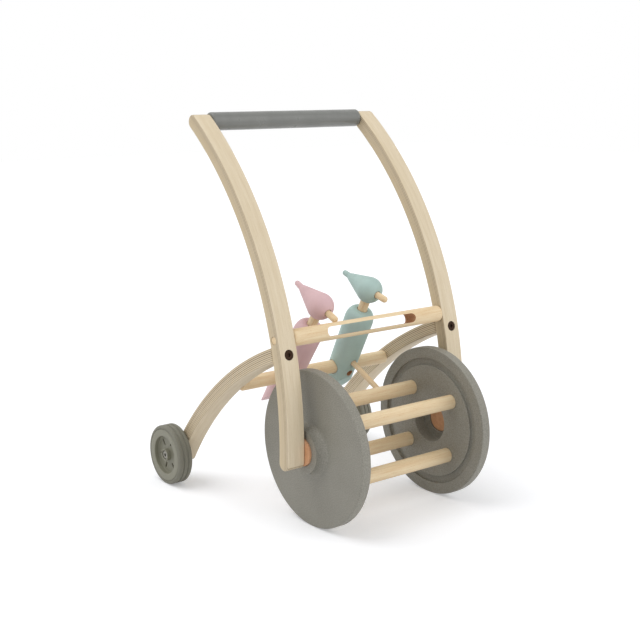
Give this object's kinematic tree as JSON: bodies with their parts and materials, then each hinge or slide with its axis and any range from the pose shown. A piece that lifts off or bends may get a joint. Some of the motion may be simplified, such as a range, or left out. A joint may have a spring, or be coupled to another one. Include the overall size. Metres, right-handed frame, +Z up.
{
  "type": "baby push walker",
  "caption": "Wooden baby push walker: bent laminated frame, dowel drum between large disc wheels, small rear wheels, and birds on a perch rod that peck a slotted sound bar.",
  "frame": {"origin": "on the ground under the middle of the walker's bounding box", "axes": "+Z up, -Y forward in the direction of travel with the drum in front, +X across to the side of the green bird"},
  "size_m": [0.3268, 0.3692, 0.4825],
  "materials": {
    "laminated_wood": "bent laminated veneer strips, clear matte finish, laminations showing on the sides",
    "dowel_wood": "turned natural wood, sanded",
    "stub_wood": "turned wood of a warmer tone, sanded",
    "handle_paint": "turned wood with grey matte paint",
    "drum_composite": "pressed wood composite with grey-green satin stain",
    "wheel_plastic": "moulded grey-green plastic",
    "tyre_rubber": "matte grooved tread",
    "dark_metal": "blackened steel screws",
    "steel": "plain steel screws and spacers",
    "brass": "plain threaded sleeves",
    "pink_paint": "turned wood with pale pink matte paint",
    "green_paint": "turned wood with pale mint green matte paint"
  },
  "bodies": {
    "frame": {"post_left": "laminated_wood", "post_right": "laminated_wood", "leg_left": "laminated_wood", "leg_right": "laminated_wood", "handle_bar": "handle_paint", "sound_bar": "dowel_wood", "perch_rod": "dowel_wood", "frame_bolt_left": "dark_metal", "frame_bolt_right": "dark_metal", "frame_insert_left": "brass", "frame_insert_right": "brass", "axle_stub_left": "stub_wood", "axle_stub_right": "stub_wood", "axle_screw_left": "steel", "axle_screw_right": "steel", "axle_spacer_left": "steel", "axle_spacer_right": "steel", "axle_insert_left": "brass", "axle_insert_right": "brass"},
    "drum": {"drum_wheel_left": "drum_composite", "drum_wheel_right": "drum_composite", "drum_dowel_1": "dowel_wood", "drum_dowel_2": "dowel_wood", "drum_dowel_3": "dowel_wood", "drum_dowel_4": "dowel_wood"},
    "rear_wheel_left": {"rear_core_left": "wheel_plastic", "rear_tyre_left": "tyre_rubber"},
    "rear_wheel_right": {"rear_core_right": "wheel_plastic", "rear_tyre_right": "tyre_rubber"},
    "bird_left": {"bird_body_left": "pink_paint", "bird_neck_left": "dowel_wood", "bird_head_left": "pink_paint", "bird_beak_left": "dowel_wood", "bird_peg_left": "dowel_wood"},
    "bird_right": {"bird_body_right": "green_paint", "bird_neck_right": "dowel_wood", "bird_head_right": "green_paint", "bird_beak_right": "dowel_wood", "bird_peg_right": "dowel_wood"}
  },
  "joints": [
    {"name": "drum_spin", "type": "hinge", "parent": "frame", "child": "drum", "pos_m": [0, -0.0896, 0.095], "axis": [1, 0, 0], "continuous": true},
    {"name": "rear_left_spin", "type": "hinge", "parent": "frame", "child": "rear_wheel_left", "pos_m": [-0.1534, 0.1454, 0.0392], "axis": [1, 0, 0], "continuous": true},
    {"name": "rear_right_spin", "type": "hinge", "parent": "frame", "child": "rear_wheel_right", "pos_m": [0.1534, 0.1454, 0.0392], "axis": [1, 0, 0], "continuous": true},
    {"name": "bird_left_peck", "type": "hinge", "parent": "frame", "child": "bird_left", "pos_m": [-0.045, 0.03246, 0.15165], "axis": [-1, 0, 0], "range_deg": [0, 30]},
    {"name": "bird_right_peck", "type": "hinge", "parent": "frame", "child": "bird_right", "pos_m": [0.045, 0.03246, 0.15165], "axis": [-1, 0, 0], "range_deg": [-7.6, 22]}
  ]
}
